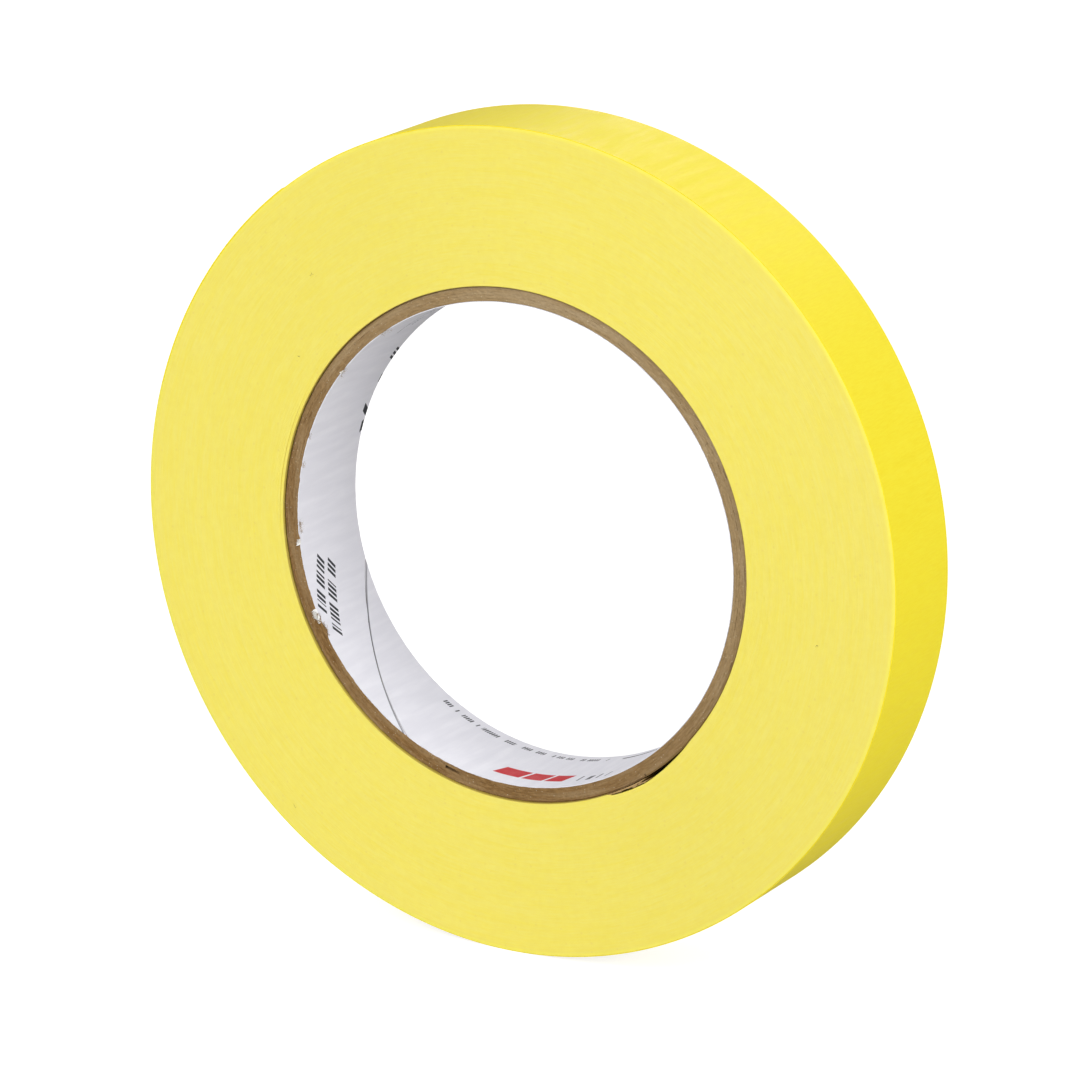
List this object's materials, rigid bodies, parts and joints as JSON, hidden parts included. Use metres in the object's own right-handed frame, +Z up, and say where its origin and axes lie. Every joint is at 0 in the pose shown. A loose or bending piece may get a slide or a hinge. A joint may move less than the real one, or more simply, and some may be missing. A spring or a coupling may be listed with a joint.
{
  "type": "masking tape roll",
  "caption": "Roll of crepe-paper masking tape wound on a spiral-wound paperboard core, with a free end that peels off the rim.",
  "frame": {"origin": "centre of the core's bore, halfway across the tape's width", "axes": "+Y along the roll's axis, from the front side to the back side; +Z up, with the roll standing on its rim"},
  "size_m": [0.1306, 0.018, 0.1305],
  "materials": {
    "wound_crepe": "matte crepe paper seen on its cut edges",
    "crepe_backing": "satin saturated crepe paper with a release coat",
    "adhesive": "tacky, slightly glossy",
    "liner_paper": "smooth white paper, slightly bluish",
    "paperboard": "matte brown recycled board"
  },
  "bodies": {
    "roll": {"core_liner": "liner_paper", "core_ply_1": "paperboard", "core_ply_2": "paperboard", "core_ply_3": "paperboard", "core_ply_4": "paperboard", "core_ply_5": "paperboard", "wound_tape": "wound_crepe", "tape_start_fold": "wound_crepe"},
    "free_end_1": {"free_end_backing_1": "crepe_backing", "free_end_adhesive_1": "adhesive"},
    "free_end_2": {"free_end_backing_2": "crepe_backing", "free_end_adhesive_2": "adhesive"},
    "free_end_3": {"free_end_backing_3": "crepe_backing", "free_end_adhesive_3": "adhesive"},
    "free_end_4": {"free_end_backing_4": "crepe_backing", "free_end_adhesive_4": "adhesive"},
    "free_end_5": {"free_end_backing_5": "crepe_backing", "free_end_adhesive_5": "adhesive"},
    "free_end_6": {"free_end_backing_6": "crepe_backing", "free_end_adhesive_6": "adhesive"}
  },
  "joints": [
    {"name": "peel", "type": "hinge", "parent": "roll", "child": "free_end_1", "pos_m": [-0.06282, 0, 0.01803], "axis": [0, -1, 0], "range_deg": [0, 25]},
    {"name": "peel_bend_2", "type": "hinge", "parent": "free_end_1", "child": "free_end_2", "pos_m": [-0.06059, 0, 0.0245], "axis": [0, -1, 0], "range_deg": [0, 25]},
    {"name": "peel_bend_3", "type": "hinge", "parent": "free_end_2", "child": "free_end_3", "pos_m": [-0.0577, 0, 0.0307], "axis": [0, -1, 0], "range_deg": [0, 25]},
    {"name": "peel_bend_4", "type": "hinge", "parent": "free_end_3", "child": "free_end_4", "pos_m": [-0.05418, 0, 0.03656], "axis": [0, -1, 0], "range_deg": [0, 25]},
    {"name": "peel_bend_5", "type": "hinge", "parent": "free_end_4", "child": "free_end_5", "pos_m": [-0.05006, 0, 0.04202], "axis": [0, -1, 0], "range_deg": [0, 25]},
    {"name": "peel_bend_6", "type": "hinge", "parent": "free_end_5", "child": "free_end_6", "pos_m": [-0.0454, 0, 0.04702], "axis": [0, -1, 0], "range_deg": [0, 25]}
  ],
  "couplings": [
    {"joint": "peel_bend_2", "follows": "peel", "ratio": 1},
    {"joint": "peel_bend_3", "follows": "peel", "ratio": 1},
    {"joint": "peel_bend_4", "follows": "peel", "ratio": 1},
    {"joint": "peel_bend_5", "follows": "peel", "ratio": 1},
    {"joint": "peel_bend_6", "follows": "peel", "ratio": 1}
  ]
}
